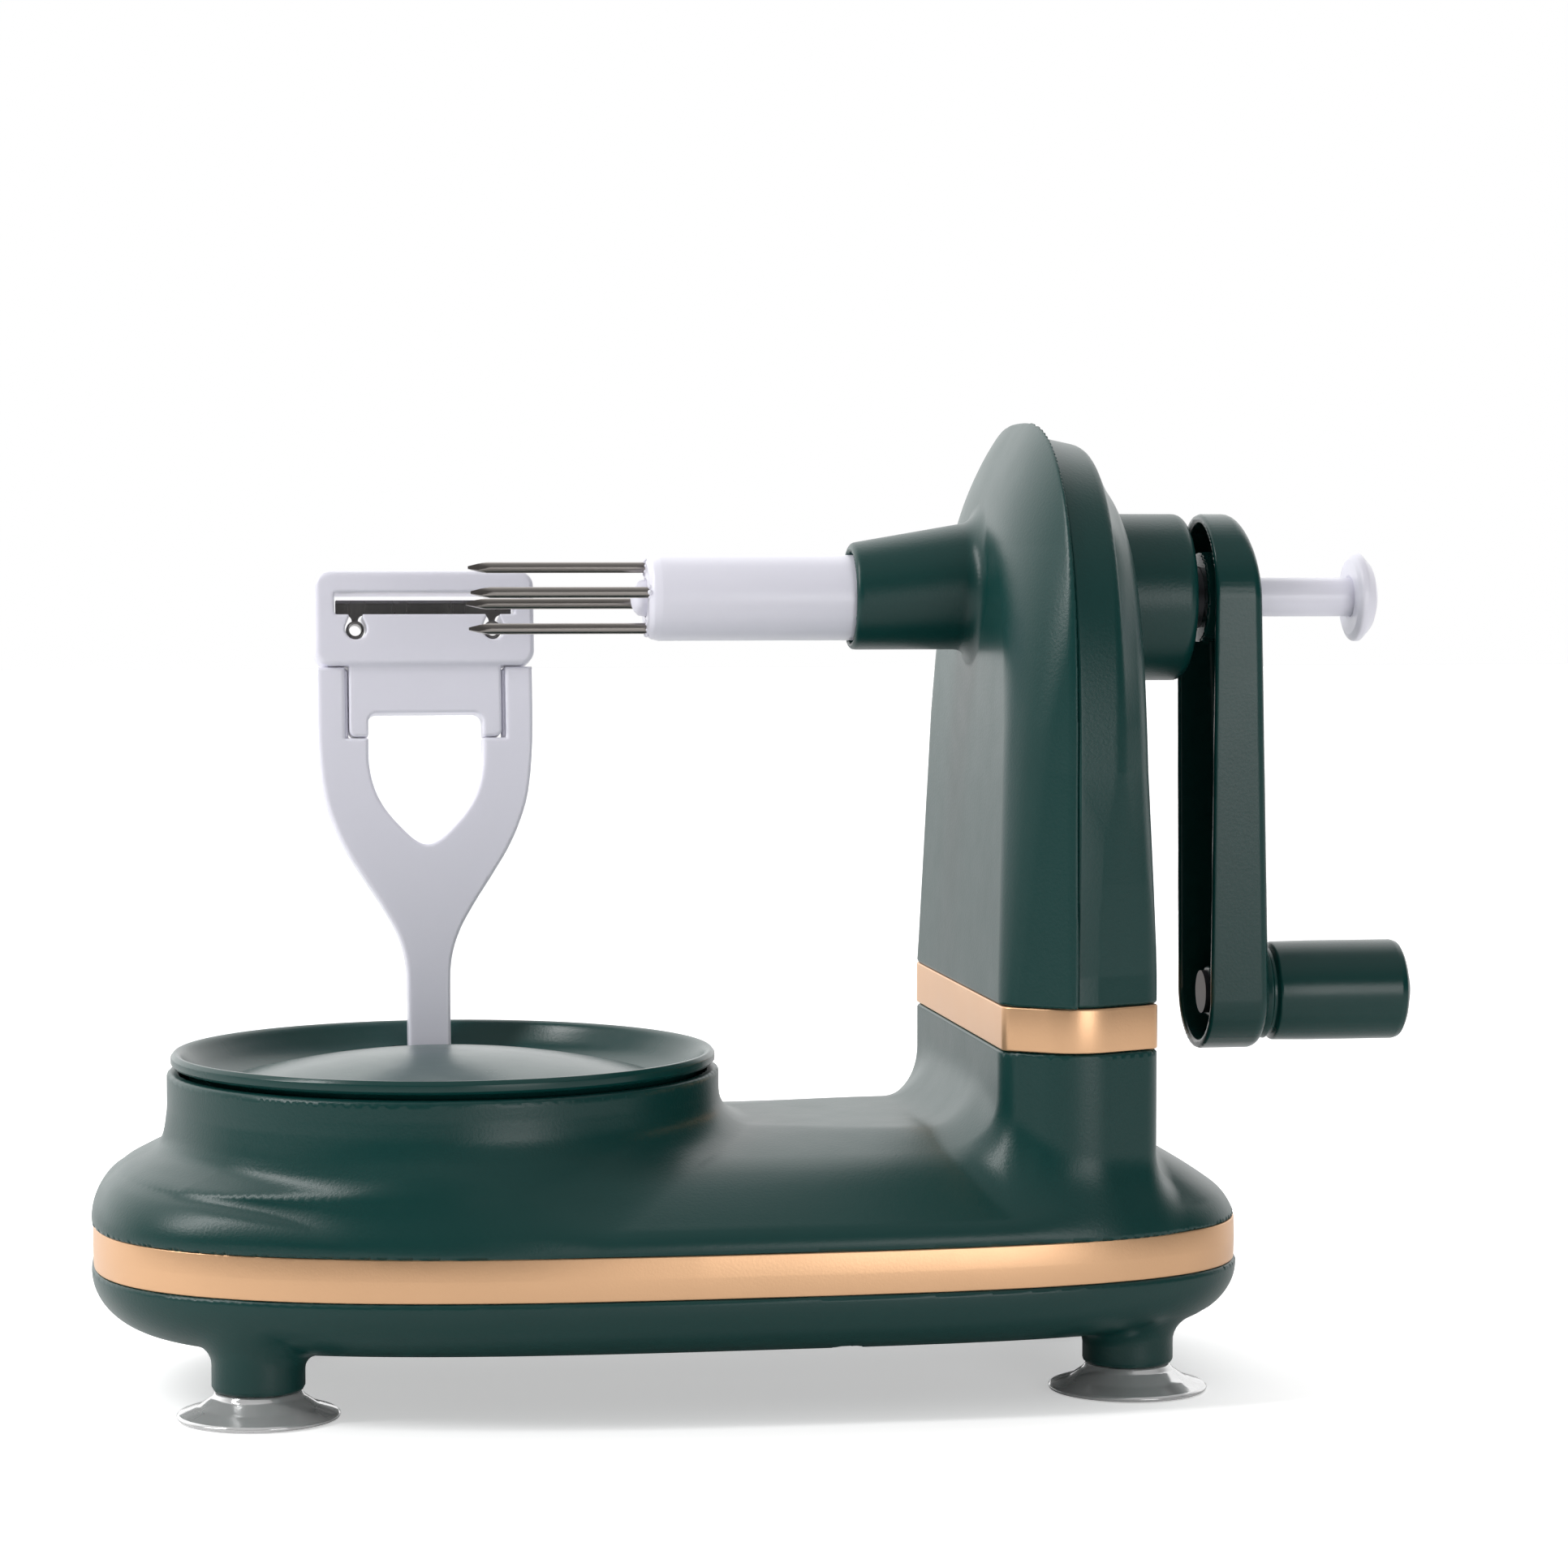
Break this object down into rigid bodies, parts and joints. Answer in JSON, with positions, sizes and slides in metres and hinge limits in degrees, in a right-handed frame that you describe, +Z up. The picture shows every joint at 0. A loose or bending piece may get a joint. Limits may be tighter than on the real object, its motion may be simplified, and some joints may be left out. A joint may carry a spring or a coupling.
{
  "type": "apple peeler",
  "caption": "Hand-cranked fruit peeler: fork spindle, geared turntable with a sprung peeling arm, and a base on suction cups.",
  "frame": {"origin": "middle of the footprint box, on the surface the suction cups stand on", "axes": "+X from the turntable to the crank, +Y to the back, +Z up"},
  "size_m": [0.308, 0.144, 0.2185],
  "materials": {
    "green_shell": "deep green moulded plastic, satin gloss",
    "gold_trim": "champagne gold satin trim",
    "clear_cup": "clear soft plastic",
    "white_plastic": "cool white moulded plastic",
    "bright_steel": "polished stainless steel",
    "plated_steel": "zinc plated",
    "dark_steel": "black oxide",
    "gear_nylon": "natural nylon",
    "bush_plastic": "acetal",
    "bush_brass": "turned"
  },
  "bodies": {
    "base": {"base_upper_shell": "green_shell", "base_trim_band": "gold_trim", "base_lower_pan": "green_shell", "base_screws": "plated_steel", "suction_cup_front_left": "clear_cup", "suction_cup_back_left": "clear_cup", "suction_cup_front_right": "clear_cup", "suction_cup_back_right": "clear_cup", "tower_front_shell": "green_shell", "tower_rear_shell": "green_shell", "tower_trim_band": "gold_trim", "tower_screws": "plated_steel", "spindle_bush_front": "bush_plastic", "spindle_bush_rear": "bush_plastic", "column_bracket": "dark_steel", "bracket_screws": "plated_steel", "column_bush_upper": "bush_brass", "column_bush_lower": "bush_brass", "gear_plate": "plated_steel", "plate_screws_set": "plated_steel", "turntable_post": "plated_steel", "turntable_retainer": "plated_steel", "idler_pin": "plated_steel", "reducer_pin": "plated_steel"},
    "crank": {"spindle_tube": "dark_steel", "spindle_bevel": "gear_nylon", "fork_sleeve": "white_plastic", "fork_tines": "bright_steel", "crank_arm": "green_shell", "crank_set_screws": "dark_steel", "grip_pin": "dark_steel"},
    "grip": {"crank_grip": "green_shell", "grip_cap": "green_shell"},
    "ejector": {"ejector_rod": "bright_steel", "ejector_tip": "white_plastic", "ejector_stem": "white_plastic", "ejector_knob": "white_plastic"},
    "column": {"column_shaft": "plated_steel", "column_bevel": "gear_nylon", "column_pinion": "gear_nylon"},
    "reducer": {"reducer_gear": "gear_nylon"},
    "idler": {"idler_gear": "gear_nylon"},
    "turntable": {"turntable_gear": "gear_nylon", "turntable_plate": "green_shell", "turntable_dome": "green_shell", "turntable_screws": "plated_steel", "arm_pivot_pin": "bright_steel", "arm_spring": "dark_steel"},
    "arm": {"peeler_arm": "white_plastic"},
    "head": {"blade_holder": "white_plastic", "peeling_blade": "bright_steel", "blade_pegs": "bright_steel"}
  },
  "joints": [
    {"name": "crank_turn", "type": "hinge", "parent": "base", "child": "crank", "pos_m": [0, 0, 0.178], "axis": [1, 0, 0], "range_deg": [-6210, 1620]},
    {"name": "grip_spin", "type": "hinge", "parent": "crank", "child": "grip", "pos_m": [0.13, 0, 0.0854], "axis": [1, 0, 0], "continuous": true},
    {"name": "ejector_push", "type": "slide", "parent": "crank", "child": "ejector", "axis": [-1, 0, 0], "range_m": [0, 0.0175]},
    {"name": "column_turn", "type": "hinge", "parent": "base", "child": "column", "pos_m": [0.0635, 0, 0.1], "axis": [0, 0, 1], "range_deg": [-4141, 1081]},
    {"name": "reducer_turn", "type": "hinge", "parent": "base", "child": "reducer", "pos_m": [0.0185, 0, 0.05], "axis": [0, 0, 1], "range_deg": [-271, 1036]},
    {"name": "idler_turn", "type": "hinge", "parent": "base", "child": "idler", "pos_m": [-0.009, 0, 0.045], "axis": [0, 0, 1], "range_deg": [-389, 102]},
    {"name": "turntable_turn", "type": "hinge", "parent": "base", "child": "turntable", "pos_m": [-0.074, 0, 0.07], "axis": [0, 0, 1], "range_deg": [-45.5, 173]},
    {"name": "arm_swing", "type": "hinge", "parent": "turntable", "child": "arm", "pos_m": [-0.074, 0.05, 0.065], "axis": [-1, 0, 0], "range_deg": [-24, 0]},
    {"name": "head_slide", "type": "slide", "parent": "arm", "child": "head", "axis": [0, 0.1392, 0.9903], "range_m": [0, 0.018]}
  ],
  "couplings": [
    {"joint": "column_turn", "follows": "crank_turn", "ratio": 0.66667},
    {"joint": "reducer_turn", "follows": "crank_turn", "ratio": -0.16667},
    {"joint": "idler_turn", "follows": "crank_turn", "ratio": 0.0625},
    {"joint": "turntable_turn", "follows": "crank_turn", "ratio": -0.027778}
  ]
}
